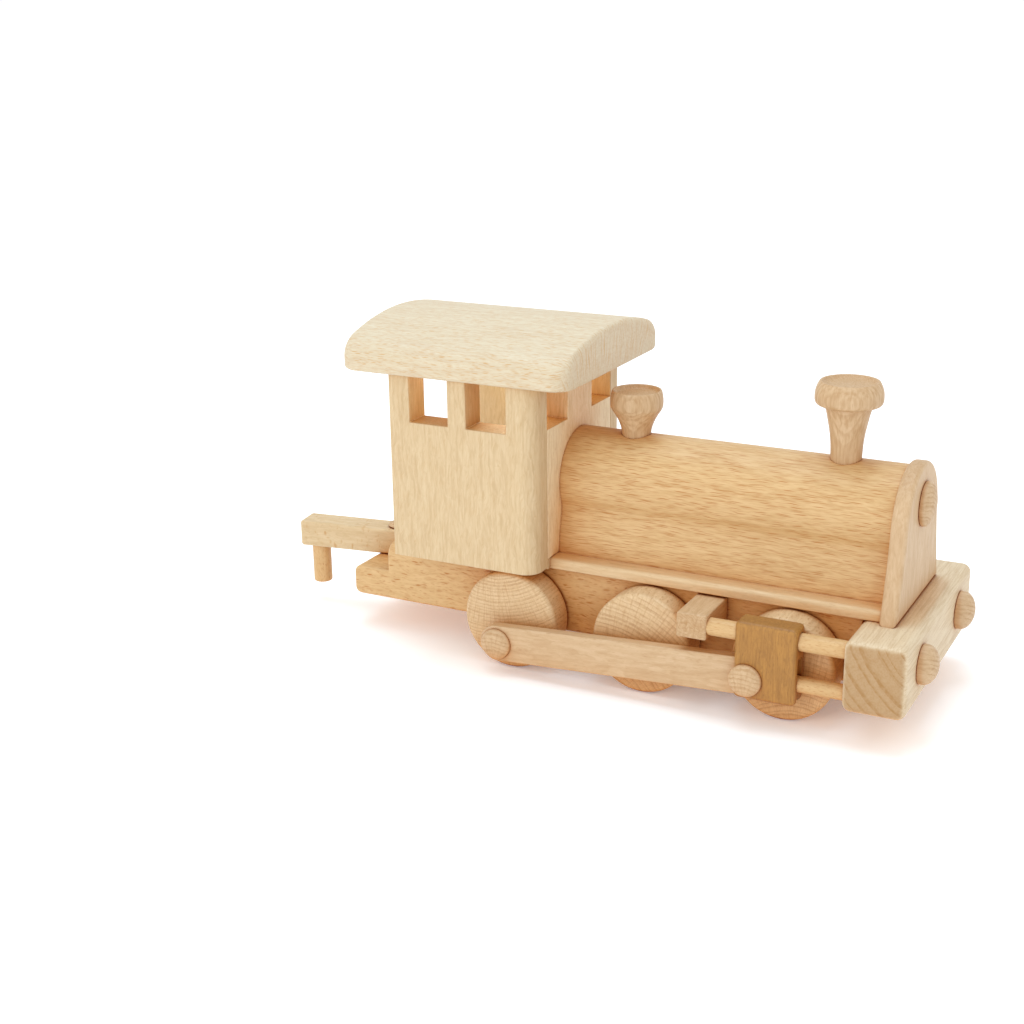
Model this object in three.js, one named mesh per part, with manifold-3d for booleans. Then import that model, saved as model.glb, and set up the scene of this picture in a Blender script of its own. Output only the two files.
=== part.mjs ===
// Wooden toy steam locomotive, built from separate glued, pinned and sliding pieces.
// Millimetres. X runs forward, Y to the engine's left, Z up. The wheels stand on Z = 0.
import * as THREE from 'three';
import { RoundedBoxGeometry } from 'three/addons/geometries/RoundedBoxGeometry.js';
import { mergeVertices } from 'three/addons/utils/BufferGeometryUtils.js';
import Module from 'manifold-3d';

const wasm = await Module();
wasm.setup();

// ---------- driving dimensions ----------

const rearAxleX = -36.4;
const axleSpacing = 84;
const glueGap = 0.3;
const runningGap = 0.3;

const wheel = { radius: 30, width: 19.5, inner: 37.25, round: 3, socket: 13 };
const axleRadius = 6;

const chassis = {
  rear: rearAxleX - 122, step: rearAxleX - 97, front: rearAxleX + 206.5,
  halfWidth: 36.5, bottom: 20.5, floor: 39, top: 61, round: 2.5,
};
const cab = {
  rear: rearAxleX - 74.7, front: rearAxleX + 19.8, halfWidth: 62, wall: 18, bottom: chassis.top + 1,
  top: 174.5, cornerRadius: 10, sill: 146, postHalfWidth: 16.5,
};
const sideWindows = [[rearAxleX - 61.2, rearAxleX - 35.7], [rearAxleX - 23.7, rearAxleX + 2.3]];
const roof = {
  rear: rearAxleX - 105, front: rearAxleX + 42.5, halfWidth: 69, sideHeight: 14, crown: 27.5,
  cornerRadius: 11, round: 3.5,
};
const board = { halfWidth: 41.5, thickness: 6.5, rear: cab.front, front: rearAxleX + 217 };
const boardTop = chassis.top + board.thickness;

const boiler = {
  radius: 28.4, centreZ: 109.3, footHalfWidth: 29.6, rear: cab.front, front: board.front,
};
const boilerTop = boiler.centreZ + boiler.radius;
const plate = {
  rear: board.front, thickness: 9.5, footHalfWidth: 46.5, radius: 35, shoulderZ: 105.5,
};
const beam = {
  rear: chassis.front, depth: 34, halfWidth: 75, bottom: chassis.bottom, top: chassis.top, round: 5,
};
const beamFront = beam.rear + beam.depth;

const crank = { x: rearAxleX - 2.3, z: 19.4 };
const slidePin = { x: rearAxleX + 153.2, z: 28 };
const gearY = 65.25;
const rod = { thickness: 7, endRadius: 11 };
const crosshead = {
  rear: rearAxleX + 146, length: 35, inner: 57.5, thickness: 15.5, bottom: 16.5, height: 44.5,
  slotTop: 43, slotWidth: 7.8,
};
const pinRadius = 5;
const pinHead = { radius: 9.25, height: 5 };
const guide = { z: 52.5, radius: 5, socket: 14 };
const bracket = {
  rear: rearAxleX + 111.5, length: 17.5, outer: 71, bottom: 45.5, height: 14.5, socket: 10,
};
const piston = { radius: 4.5, rear: crosshead.rear + 23, front: beam.rear + 15, boreDepth: 31 };

const drawbar = {
  pivotX: rearAxleX - 109.5, reach: 67, halfWidth: 9.5, bottom: chassis.floor + glueGap, height: 16.7,
  yaw: THREE.MathUtils.degToRad(8.5), pegReach: 56.5,
};
const peg = { radius: 6, bottom: 13, socket: 9 };
const drawbarPin = { radius: 4, socket: 12, headRadius: 7, headHeight: 3 };

const tenon = { radius: 6, length: 14 };
const chimney = { x: rearAxleX + 182, footRadius: 8.6 };
const steamDome = { x: rearAxleX + 56.4, footRadius: 8.5 };
const footDepth = 3;
const lamp = { z: 117.5, radius: 12.5, height: 6.5 };
const buffer = { y: 43.2, z: 42.5, radius: 11, height: 9.5 };
const dowel = { radius: 4, halfLength: 15 };
const beamDowelZ = 41;

// ---------- materials ----------

function wood(color, roughness) {
  return new THREE.MeshStandardMaterial({ color, roughness, metalness: 0 });
}

const beechBlock = () => wood(0xe2bf8e, 0.62);
const beechBoard = () => wood(0xe8cca2, 0.6);
const beechTurned = () => wood(0xdcbb90, 0.55);
const darkWood = () => wood(0xb78a52, 0.6);

// ---------- mesh helpers ----------

function signedVolume(position, index) {
  const a = new THREE.Vector3();
  const b = new THREE.Vector3();
  const c = new THREE.Vector3();
  let sum = 0;
  for (let i = 0; i < index.length; i += 3) {
    a.fromBufferAttribute(position, index[i]);
    b.fromBufferAttribute(position, index[i + 1]);
    c.fromBufferAttribute(position, index[i + 2]);
    sum += a.dot(b.cross(c));
  }
  return sum / 6;
}

// One closed skin: shared corners merged, sliver triangles dropped, faces turned outward.
function closed(source) {
  const geometry = source.clone();
  geometry.deleteAttribute('normal');
  geometry.deleteAttribute('uv');
  const merged = mergeVertices(geometry, 1e-4);
  const all = merged.index.array;
  const kept = [];
  for (let i = 0; i < all.length; i += 3) {
    const [a, b, c] = [all[i], all[i + 1], all[i + 2]];
    if (a !== b && b !== c && a !== c) {
      kept.push(a, b, c);
    }
  }
  if (signedVolume(merged.attributes.position, kept) < 0) {
    kept.reverse();
  }
  merged.setIndex(kept);
  return merged;
}

function toSolid(geometry) {
  const skin = closed(geometry);
  return new wasm.Manifold(new wasm.Mesh({
    numProp: 3,
    vertProperties: new Float32Array(skin.attributes.position.array),
    triVerts: new Uint32Array(skin.index.array),
  }));
}

function toGeometry(solid) {
  const mesh = solid.getMesh();
  const geometry = new THREE.BufferGeometry();
  geometry.setAttribute('position', new THREE.BufferAttribute(mesh.vertProperties, 3));
  geometry.setIndex(new THREE.BufferAttribute(mesh.triVerts, 1));
  return geometry;
}

function cut(geometry, tools) {
  let solid = toSolid(geometry);
  for (const tool of tools) {
    solid = solid.subtract(toSolid(tool));
  }
  return toGeometry(solid);
}

// ---------- shape helpers ----------

const barSegments = 16;
const postSegments = 24;
const wheelSegments = 32;

// A block from its low corner to its high corner, with all edges rounded.
function block(low, high, round, segments = 1) {
  const size = high.map((value, i) => value - low[i]);
  const centre = high.map((value, i) => (value + low[i]) / 2);
  return new RoundedBoxGeometry(...size, segments, round).translate(...centre);
}

function sharpBlock(low, high) {
  const size = high.map((value, i) => value - low[i]);
  const centre = high.map((value, i) => (value + low[i]) / 2);
  return new THREE.BoxGeometry(...size).translate(...centre);
}

// Turns a shape made along +Y so that it points along the named axis.
const turnTo = {
  x: (geometry) => geometry.rotateZ(-Math.PI / 2),
  y: (geometry) => geometry,
  z: (geometry) => geometry.rotateX(Math.PI / 2),
  '-y': (geometry) => geometry.rotateX(Math.PI),
};

function turned(profile, axis, place, segments = 20) {
  const points = profile.map(([radius, along]) => new THREE.Vector2(radius, along));
  return turnTo[axis](new THREE.LatheGeometry(points, segments)).translate(...place);
}

// A round bar from its start point along an axis, with small chamfers at both ends.
function bar(radius, length, axis, place, chamfer = 0.6) {
  const profile = [
    [0, 0], [radius - chamfer, 0], [radius, chamfer],
    [radius, length - chamfer], [radius - chamfer, length], [0, length],
  ];
  return turned(profile, axis, place, barSegments);
}

function bore(radius, length, axis, place, segments = barSegments) {
  const profile = [[0, 0], [radius, 0], [radius, length], [0, length]];
  return turned(profile, axis, place, segments);
}

// A shape drawn with x forward and y up, given thickness across the engine and softened faces.
function sidePlate(shape, low, high, round, curveSegments = 6) {
  const geometry = new THREE.ExtrudeGeometry(shape, {
    depth: high - low - 2 * round,
    bevelThickness: round,
    bevelSize: round,
    bevelOffset: -round,
    bevelSegments: 1,
    curveSegments,
  });
  return geometry.rotateX(Math.PI / 2).translate(0, high - round, 0);
}

// A shape drawn with x to the left and y up, given length along the engine and softened ends.
function crossPlate(shape, low, high, round, curveSegments = 12) {
  const geometry = new THREE.ExtrudeGeometry(shape, {
    depth: high - low - 2 * round,
    bevelThickness: round,
    bevelSize: round,
    bevelOffset: -round,
    bevelSegments: 2,
    curveSegments,
  });
  return geometry.rotateX(Math.PI / 2).rotateZ(Math.PI / 2).translate(low + round, 0, 0);
}

// A polygon whose corners are rounded by the radius given with each corner.
function roundedShape(corners) {
  const shape = new THREE.Shape();
  corners.forEach(([x, y, radius], i) => {
    const before = corners.at(i - 1);
    const after = corners[(i + 1) % corners.length];
    const corner = new THREE.Vector2(x, y);
    const back = new THREE.Vector2(before[0] - x, before[1] - y).setLength(radius).add(corner);
    const ahead = new THREE.Vector2(after[0] - x, after[1] - y).setLength(radius).add(corner);
    if (i === 0) {
      shape.moveTo(back.x, back.y);
    } else {
      shape.lineTo(back.x, back.y);
    }
    if (radius > 0) {
      shape.quadraticCurveTo(x, y, ahead.x, ahead.y);
    }
  });
  shape.closePath();
  return shape;
}

// Profile of a turned pin: a shank with a mushroom head, measured from the shank's end.
function domedPin(shankRadius, shankLength, headRadius, headHeight) {
  const profile = [[0, 0], [shankRadius - 0.5, 0], [shankRadius, 0.5], [shankRadius, shankLength]];
  profile.push([headRadius, shankLength]);
  const rings = 4;
  const rim = headHeight * 0.25;
  for (let i = 0; i < rings; i += 1) {
    const angle = (i / rings) * (Math.PI / 2);
    const along = shankLength + rim + (headHeight - rim) * Math.sin(angle);
    profile.push([headRadius * Math.cos(angle), along]);
  }
  profile.push([0, shankLength + headHeight]);
  return profile;
}

// ---------- the assembly ----------

const locomotive = new THREE.Group();

function add(name, geometry, material) {
  const mesh = new THREE.Mesh(closed(geometry), material());
  mesh.name = name;
  locomotive.add(mesh);
}

// Adds the right-hand piece (-Y) and its mirror image on the left.
function addPair(name, geometry, material) {
  add(`${name}_right`, geometry, material);
  add(`${name}_left`, geometry.clone().scale(1, -1, 1), material);
}

const axleXs = [rearAxleX, rearAxleX + axleSpacing, rearAxleX + 2 * axleSpacing];
const axleNames = ['rear', 'middle', 'front'];
const boilerDowelXs = [boiler.rear + 35, boiler.front - 35];
const beamDowelYs = [-20, 20];

function makeChassis() {
  const outline = roundedShape([
    [chassis.rear, chassis.bottom, 5],
    [chassis.front, chassis.bottom, 0],
    [chassis.front, chassis.top, 0],
    [chassis.step, chassis.top, 13],
    [chassis.step, chassis.floor, 1],
    [chassis.rear, chassis.floor, 5],
  ]);
  const body = sidePlate(outline, -chassis.halfWidth, chassis.halfWidth, chassis.round);
  const axleBores = axleXs.map((x) => bore(
    axleRadius + runningGap, 2 * chassis.halfWidth + 2, 'y', [x, -chassis.halfWidth - 1, wheel.radius],
  ));
  const endDowelBores = beamDowelYs.map((y) => bore(
    dowel.radius + glueGap, dowel.halfLength + 1 + glueGap, 'x',
    [chassis.front - dowel.halfLength - glueGap, y, beamDowelZ],
  ));
  const boilerDowelBores = boilerDowelXs.map((x) => bore(
    dowel.radius + glueGap, dowel.halfLength + 1, 'z', [x, 0, chassis.top - dowel.halfLength + glueGap],
  ));
  const pinBore = bore(
    drawbarPin.radius + glueGap, drawbarPin.socket + 1, 'z',
    [drawbar.pivotX, 0, chassis.floor - drawbarPin.socket],
  );
  // The front end stands square against the buffer beam.
  const squareFront = sharpBlock(
    [chassis.front - chassis.round, -chassis.halfWidth, chassis.bottom],
    [chassis.front, chassis.halfWidth, chassis.top],
  );
  const whole = toGeometry(toSolid(body).add(toSolid(squareFront)));
  return cut(whole, [...axleBores, ...endDowelBores, ...boilerDowelBores, pinBore]);
}

function makeBoard() {
  const section = roundedShape([
    [-board.halfWidth, chassis.top, 0.8], [board.halfWidth, chassis.top, 0.8],
    [board.halfWidth, boardTop, 2.8], [-board.halfWidth, boardTop, 2.8],
  ]);
  const slab = new THREE.ExtrudeGeometry(section, {
    depth: board.front - board.rear, bevelEnabled: false, curveSegments: 3,
  });
  slab.rotateX(Math.PI / 2).rotateZ(Math.PI / 2).translate(board.rear, 0, 0);
  return cut(slab, boilerDowelXs.map((x) => bore(
    dowel.radius + glueGap, board.thickness + 2, 'z', [x, 0, chassis.top - 1],
  )));
}

// Round top, drawn in at a slight waist and spreading again to the foot.
function boilerShape() {
  const { radius, centreZ, footHalfWidth } = boiler;
  const shoulderAngle = THREE.MathUtils.degToRad(18);
  const shoulder = [radius * Math.cos(shoulderAngle), centreZ - radius * Math.sin(shoulderAngle)];
  const waist = [[25.5, 96], [25.7, 91], [26.9, 86], [28.4, 79]];
  const side = [shoulder, ...waist, [footHalfWidth, boardTop]];
  const right = side.map(([y, z]) => new THREE.Vector2(y, z)).reverse();
  const left = side.map(([y, z]) => new THREE.Vector2(-y, z));
  const shape = new THREE.Shape();
  shape.moveTo(-footHalfWidth, boardTop);
  shape.lineTo(footHalfWidth, boardTop);
  shape.splineThru(right.slice(1));
  shape.absarc(0, centreZ, radius, -shoulderAngle, Math.PI + shoulderAngle, false);
  shape.splineThru(left.slice(1));
  return shape;
}

function makeBoiler() {
  const body = new THREE.ExtrudeGeometry(boilerShape(), {
    depth: boiler.front - boiler.rear, bevelEnabled: false, curveSegments: 16,
  });
  body.rotateX(Math.PI / 2).rotateZ(Math.PI / 2).translate(boiler.rear, 0, 0);
  const sockets = [chimney, steamDome].flatMap(({ x, footRadius }) => [
    bore(tenon.radius + glueGap, tenon.length + 1, 'z', [x, 0, boilerTop - tenon.length - glueGap]),
    bore(footRadius + glueGap, footDepth + 1, 'z', [x, 0, boilerTop - footDepth - glueGap], postSegments),
  ]);
  const dowelBores = boilerDowelXs.map((x) => bore(
    dowel.radius + glueGap, dowel.halfLength + 1, 'z', [x, 0, boardTop - 1],
  ));
  const lampBore = bore(
    tenon.radius + glueGap, tenon.length + 1, 'x', [boiler.front - tenon.length, 0, lamp.z],
  );
  return cut(body, [...sockets, ...dowelBores, lampBore]);
}

function makePlate() {
  const shape = new THREE.Shape();
  shape.moveTo(-plate.footHalfWidth, chassis.top);
  shape.lineTo(plate.footHalfWidth, chassis.top);
  shape.quadraticCurveTo(plate.radius + 3.5, plate.shoulderZ - 20, plate.radius, plate.shoulderZ);
  shape.absarc(0, plate.shoulderZ, plate.radius, 0, Math.PI, false);
  shape.quadraticCurveTo(-plate.radius - 3.5, plate.shoulderZ - 20, -plate.footHalfWidth, chassis.top);
  const slab = crossPlate(shape, plate.rear, plate.rear + plate.thickness, 2.5, 14);
  const lampBore = bore(
    tenon.radius + glueGap, plate.thickness + 2, 'x', [plate.rear - 1, 0, lamp.z],
  );
  return cut(slab, [lampBore]);
}

function makeBeam() {
  const body = block(
    [beam.rear, -beam.halfWidth, beam.bottom], [beamFront, beam.halfWidth, beam.top], beam.round, 2,
  );
  const bores = beamDowelYs.map((y) => bore(
    dowel.radius + glueGap, dowel.halfLength + 1 + glueGap, 'x', [beam.rear - 1, y, beamDowelZ],
  ));
  for (const side of [-1, 1]) {
    bores.push(bore(guide.radius + glueGap, guide.socket + 1 + glueGap, 'x',
      [beam.rear - 1, side * gearY, guide.z]));
    bores.push(bore(piston.radius + runningGap, piston.boreDepth + 1, 'x',
      [beam.rear - 1, side * gearY, slidePin.z]));
    bores.push(bore(tenon.radius + glueGap, tenon.length + 1 + glueGap, 'x',
      [beamFront - tenon.length - glueGap, side * buffer.y, buffer.z]));
  }
  return cut(body, bores);
}

function makeCabSide() {
  const outline = roundedShape([
    [cab.rear, cab.bottom, 1.5], [cab.front, cab.bottom, 1.5],
    [cab.front, cab.top, 0], [cab.rear, cab.top, 0],
  ]);
  const inner = -(cab.halfWidth - cab.wall);
  const wall = new THREE.ExtrudeGeometry(outline, {
    depth: cab.wall, bevelEnabled: false, curveSegments: 3,
  });
  wall.rotateX(Math.PI / 2).translate(0, inner, 0);
  const windows = sideWindows.map(([rear, front]) => sharpBlock(
    [rear, -cab.halfWidth - 1, cab.sill], [front, inner + 1, cab.top + 1],
  ));
  return cut(wall, [...windows, cornerCutter()]);
}

// Removes the square outer corner so that the side wall turns in a quarter round at the front.
function cornerCutter() {
  const r = cab.cornerRadius;
  const shape = new THREE.Shape();
  shape.moveTo(cab.front - r, -cab.halfWidth);
  shape.absarc(cab.front - r, -cab.halfWidth + r, r, -Math.PI / 2, 0, false);
  shape.lineTo(cab.front + 1, -cab.halfWidth + r);
  shape.lineTo(cab.front + 1, -cab.halfWidth - 1);
  shape.lineTo(cab.front - r, -cab.halfWidth - 1);
  const height = cab.top - cab.bottom + 2;
  const post = new THREE.ExtrudeGeometry(shape, {
    depth: height, bevelEnabled: false, curveSegments: 6,
  });
  return post.translate(0, 0, cab.bottom - 1);
}

function makeCabFloor() {
  const half = cab.halfWidth - cab.wall;
  return block([cab.rear, -half, chassis.top], [cab.front, half, boardTop], 0.8);
}

function makeCabFront() {
  const half = cab.halfWidth - cab.wall;
  const outline = new THREE.Shape();
  outline.moveTo(-half, boardTop);
  outline.lineTo(half, boardTop);
  outline.lineTo(half, cab.sill);
  outline.lineTo(cab.postHalfWidth, cab.sill);
  outline.lineTo(cab.postHalfWidth, cab.top);
  outline.lineTo(-cab.postHalfWidth, cab.top);
  outline.lineTo(-cab.postHalfWidth, cab.sill);
  outline.lineTo(-half, cab.sill);
  const wall = new THREE.ExtrudeGeometry(outline, { depth: cab.wall, bevelEnabled: false });
  return wall.rotateX(Math.PI / 2).rotateZ(Math.PI / 2).translate(cab.front - cab.wall, 0, 0);
}

// Flat below and crowned above; the plan has rounded corners.
function makeRoof() {
  const half = roof.halfWidth;
  const rise = roof.crown - roof.sideHeight;
  const arcRadius = (half * half + rise * rise) / (2 * rise);
  const arcAngle = Math.asin(half / arcRadius);
  const section = new THREE.Shape();
  section.moveTo(-half, 0);
  section.lineTo(half, 0);
  section.lineTo(half, roof.sideHeight);
  section.absarc(
    0, roof.crown - arcRadius, arcRadius, Math.PI / 2 - arcAngle, Math.PI / 2 + arcAngle, false,
  );
  const slab = crossPlate(section, roof.rear, roof.front, roof.round, 12);
  const plan = roundedShape([
    [roof.rear, -half, roof.cornerRadius], [roof.front, -half, roof.cornerRadius],
    [roof.front, half, roof.cornerRadius], [roof.rear, half, roof.cornerRadius],
  ]);
  const keep = new THREE.ExtrudeGeometry(plan, {
    depth: roof.crown + 2, bevelEnabled: false, curveSegments: 6,
  });
  keep.translate(0, 0, -1);
  const shaped = toGeometry(toSolid(slab).intersect(toSolid(keep)));
  return shaped.translate(0, 0, cab.top);
}

// The hidden lower end of a turned post: a tenon, then the foot let into its seat.
function tenonProfile(footRadius) {
  return [
    [0, -tenon.length], [tenon.radius, -tenon.length],
    [tenon.radius, -footDepth], [footRadius, -footDepth],
  ];
}

function makeChimney() {
  return turned([
    ...tenonProfile(chimney.footRadius),
    [8.7, 0], [9.1, 8], [9.8, 13], [11.2, 20], [13.4, 30], [16, 30.4], [17.8, 31.2], [18.7, 33],
    [18.8, 35], [18.5, 38], [17.6, 41], [16.6, 43.2], [15.8, 43.8], [14.8, 43.5], [11, 42.3],
    [5, 41.5], [0, 41.3],
  ], 'z', [chimney.x, 0, boilerTop], postSegments);
}

function makeSteamDome() {
  return turned([
    ...tenonProfile(steamDome.footRadius),
    [8.6, 0], [9, 3], [10.4, 7], [12.4, 11], [14.2, 13.8], [15.2, 15.8], [15.5, 18], [15.5, 20.5],
    [15.1, 23.4], [14.4, 25.7], [13.8, 26], [13, 25.6], [9, 24], [4, 23.3], [0, 23.1],
  ], 'z', [steamDome.x, 0, boilerTop], postSegments);
}

// Half section of a wheel from its inner face outward, with beaded rims and a blind axle socket.
function wheelProfile() {
  const { radius, width, round, socket } = wheel;
  const bead = (angle) => [Math.sin(angle) * round, Math.cos(angle) * round];
  const profile = [[0, width]];
  for (const angle of [0, 45, 90]) {
    const [out, up] = bead(THREE.MathUtils.degToRad(angle));
    profile.push([radius - round + out, width - round + up]);
  }
  for (const angle of [90, 45, 0]) {
    const [out, up] = bead(THREE.MathUtils.degToRad(angle));
    profile.push([radius - round + out, round - up]);
  }
  profile.push([axleRadius + glueGap, 0], [axleRadius + glueGap, socket + glueGap], [0, socket + glueGap]);
  return profile;
}

function makeRod() {
  const length = Math.hypot(slidePin.x - crank.x, slidePin.z - crank.z);
  const shape = new THREE.Shape();
  shape.moveTo(0, -rod.endRadius);
  shape.lineTo(length, -rod.endRadius);
  shape.absarc(length, 0, rod.endRadius, -Math.PI / 2, Math.PI / 2, false);
  shape.lineTo(0, rod.endRadius);
  shape.absarc(0, 0, rod.endRadius, Math.PI / 2, 1.5 * Math.PI, false);
  const low = -gearY - rod.thickness / 2;
  const slab = sidePlate(shape, low, low + rod.thickness, 0.8, 10);
  const eyes = [[0, glueGap], [length, runningGap]].map(([x, gap]) => bore(
    pinRadius + gap, rod.thickness + 2, 'y', [x, low - 1, 0],
  ));
  const tilt = Math.atan2(slidePin.z - crank.z, slidePin.x - crank.x);
  return cut(slab, eyes).rotateY(-tilt).translate(crank.x, 0, crank.z);
}

function makeCrosshead() {
  const { rear, length, inner, thickness, bottom, height, slotTop, slotWidth } = crosshead;
  const body = block([rear, -inner - thickness, bottom], [rear + length, -inner, bottom + height], 2);
  const slot = sharpBlock(
    [rear - 1, -gearY - slotWidth / 2, bottom - 1], [rear + length + 1, -gearY + slotWidth / 2, slotTop],
  );
  const guideBore = bore(guide.radius + runningGap, length + 2, 'x', [rear - 1, -gearY, guide.z]);
  const pinBore = bore(pinRadius + glueGap, thickness + 2, '-y', [slidePin.x, -inner + 1, slidePin.z]);
  const pistonBore = bore(
    piston.radius + glueGap, length, 'x', [piston.rear - glueGap, -gearY, slidePin.z],
  );
  return cut(body, [slot, guideBore, pinBore, pistonBore]);
}

function makeDrawbar() {
  const { reach, halfWidth, height } = drawbar;
  const shape = new THREE.Shape();
  shape.moveTo(0, -halfWidth);
  shape.absarc(0, 0, halfWidth, -Math.PI / 2, Math.PI / 2, false);
  shape.lineTo(-reach, halfWidth);
  shape.lineTo(-reach, -halfWidth);
  const slab = new THREE.ExtrudeGeometry(shape, {
    depth: height - 3, bevelThickness: 1.5, bevelSize: 1.5, bevelOffset: -1.5, bevelSegments: 2,
    curveSegments: 10,
  });
  slab.translate(0, 0, 1.5);
  const eye = bore(drawbarPin.radius + runningGap, height + 2, 'z', [0, 0, -1]);
  const pegBore = bore(peg.radius + glueGap, peg.socket + 1 + glueGap, 'z', [-drawbar.pegReach, 0, -1]);
  return cut(slab, [eye, pegBore]).rotateZ(drawbar.yaw).translate(drawbar.pivotX, 0, drawbar.bottom);
}

function pegPlace() {
  const along = drawbar.pegReach;
  return [
    drawbar.pivotX - along * Math.cos(drawbar.yaw), -along * Math.sin(drawbar.yaw), peg.bottom,
  ];
}

add('chassis_beam', makeChassis(), beechBlock);
add('running_board', makeBoard(), beechBoard);
add('boiler', makeBoiler(), beechBlock);
add('front_plate', makePlate(), beechBoard);
add('buffer_beam', makeBeam(), beechBoard);
add('cab_floor', makeCabFloor(), beechBoard);
addPair('cab_side', makeCabSide(), beechBoard);
add('cab_front', makeCabFront(), beechBoard);
add('roof', makeRoof(), beechBoard);
add('chimney', makeChimney(), beechTurned);
add('steam_dome', makeSteamDome(), beechTurned);

add('lamp', turned(
  domedPin(tenon.radius, plate.thickness + tenon.length - 1, lamp.radius, lamp.height), 'x',
  [boiler.front - tenon.length + 1, 0, lamp.z],
), beechTurned);
addPair('buffer', turned(
  domedPin(tenon.radius, tenon.length, buffer.radius, buffer.height), 'x',
  [beamFront - tenon.length, -buffer.y, buffer.z],
), beechTurned);

addPair('guide_bracket', cut(
  block(
    [bracket.rear, -bracket.outer, bracket.bottom],
    [bracket.rear + bracket.length, -chassis.halfWidth, bracket.bottom + bracket.height], 1.2,
  ),
  [bore(guide.radius + glueGap, bracket.socket + 1 + glueGap, 'x',
    [bracket.rear + bracket.length - bracket.socket - glueGap, -gearY, guide.z])],
), beechBoard);
const guideStart = bracket.rear + bracket.length - bracket.socket;
addPair('guide_rod', bar(
  guide.radius, beam.rear + guide.socket - guideStart, 'x', [guideStart, -gearY, guide.z],
), beechTurned);
addPair('crosshead', makeCrosshead(), darkWood);
addPair('piston_rod', bar(
  piston.radius, piston.front - piston.rear, 'x', [piston.rear, -gearY, slidePin.z], 1.2,
), beechTurned);
addPair('crosshead_pin', turned(
  domedPin(pinRadius, crosshead.thickness - 0.5, pinHead.radius, pinHead.height), '-y',
  [slidePin.x, -crosshead.inner - 0.5, slidePin.z],
), beechTurned);
addPair('main_rod', makeRod(), beechBoard);
const rodOuter = gearY + rod.thickness / 2;
const wheelOuter = wheel.inner + wheel.width;
addPair('crank_pin', turned(
  domedPin(pinRadius, rodOuter - wheelOuter - runningGap, pinHead.radius, pinHead.height), '-y',
  [crank.x, -wheelOuter - runningGap, crank.z],
), beechTurned);

axleXs.forEach((x, i) => {
  const half = wheel.inner + wheel.socket;
  const right = turned(wheelProfile(), '-y', [x, -wheel.inner, wheel.radius], wheelSegments);
  add(`axle_${axleNames[i]}`, bar(axleRadius, 2 * half, 'y', [x, -half, wheel.radius]), beechTurned);
  addPair(`wheel_${axleNames[i]}`, right, beechTurned);
});

add('drawbar', makeDrawbar(), beechBoard);
add('coupling_peg', bar(
  peg.radius, drawbar.bottom - peg.bottom + peg.socket, 'z', pegPlace(), 1,
), beechTurned);
add('drawbar_pin', turned(
  domedPin(
    drawbarPin.radius, drawbarPin.socket + drawbar.height + 2 * glueGap,
    drawbarPin.headRadius, drawbarPin.headHeight,
  ), 'z', [drawbar.pivotX, 0, chassis.floor - drawbarPin.socket + glueGap],
), beechTurned);

beamDowelYs.forEach((y, i) => {
  add(`beam_dowel_${['right', 'left'][i]}`, bar(
    dowel.radius, 2 * dowel.halfLength, 'x', [beam.rear - dowel.halfLength, y, beamDowelZ],
  ), beechTurned);
});
boilerDowelXs.forEach((x, i) => {
  add(`boiler_dowel_${['rear', 'front'][i]}`, bar(
    dowel.radius, 2 * dowel.halfLength, 'z', [x, 0, chassis.top - dowel.halfLength + 1],
  ), beechTurned);
});

export default locomotive;
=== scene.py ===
"""Wooden toy steam locomotive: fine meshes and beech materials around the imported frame."""
import math

import bmesh
import bpy
from mathutils import Matrix, Vector


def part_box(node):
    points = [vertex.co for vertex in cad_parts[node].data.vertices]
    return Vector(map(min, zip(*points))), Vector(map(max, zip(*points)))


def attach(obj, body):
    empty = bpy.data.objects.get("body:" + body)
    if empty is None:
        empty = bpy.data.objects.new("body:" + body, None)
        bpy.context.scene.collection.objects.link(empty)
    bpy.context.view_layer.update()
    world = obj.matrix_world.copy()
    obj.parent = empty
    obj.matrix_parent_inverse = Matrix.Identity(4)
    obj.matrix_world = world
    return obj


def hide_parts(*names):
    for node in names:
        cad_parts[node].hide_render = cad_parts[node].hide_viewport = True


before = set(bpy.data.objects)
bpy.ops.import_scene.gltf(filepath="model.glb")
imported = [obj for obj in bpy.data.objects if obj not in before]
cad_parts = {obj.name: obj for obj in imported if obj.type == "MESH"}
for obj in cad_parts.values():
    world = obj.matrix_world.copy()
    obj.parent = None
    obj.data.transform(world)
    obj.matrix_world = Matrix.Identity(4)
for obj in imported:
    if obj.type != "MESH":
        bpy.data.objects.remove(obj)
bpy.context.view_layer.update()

MM = 0.001
SIDES = (("right", -1), ("left", 1))
AXLES = ("rear", "middle", "front")
X, Y, Z = Vector((1, 0, 0)), Vector((0, 1, 0)), Vector((0, 0, 1))
ALONG = {"x": X, "y": Y, "z": Z}
AXIS_INDEX = {"x": 0, "y": 1, "z": 2}
ROUND_STEPS = 5
LATHE_STEPS = 96
DRILL_STEPS = 64
SHARP_ANGLE = math.radians(38)
EASED_ANGLE = math.radians(50)
# A bore's radius is its dowel's plus the fit, or the running gap where the dowel turns or slides.
FIT = 0.15 * MM
RUNNING_GAP = 0.3 * MM
TENON_BORE = 6 * MM + FIT
ROD_BORE = 5 * MM + FIT
# How far a drill or a saw starts outside the wood, and how long a drill is that goes right through.
RUN_OUT = 10 * MM
THROUGH = 30 * MM
# The lead of the plate's and the beam's drills. A blind bore is this much shorter than its drill.
DRILL_LEAD = 1 * MM


# ---------- reading the frame ----------

def middle(node):
    low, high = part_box(node)
    return (low + high) / 2


# ---------- outlines ----------

def arc(centre, radius, start, end, steps):
    """Points on an arc, angles in degrees, both ends included."""
    points = []
    for i in range(steps + 1):
        angle = math.radians(start + (end - start) * i / steps)
        points.append((centre[0] + radius * math.cos(angle), centre[1] + radius * math.sin(angle)))
    return points


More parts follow.
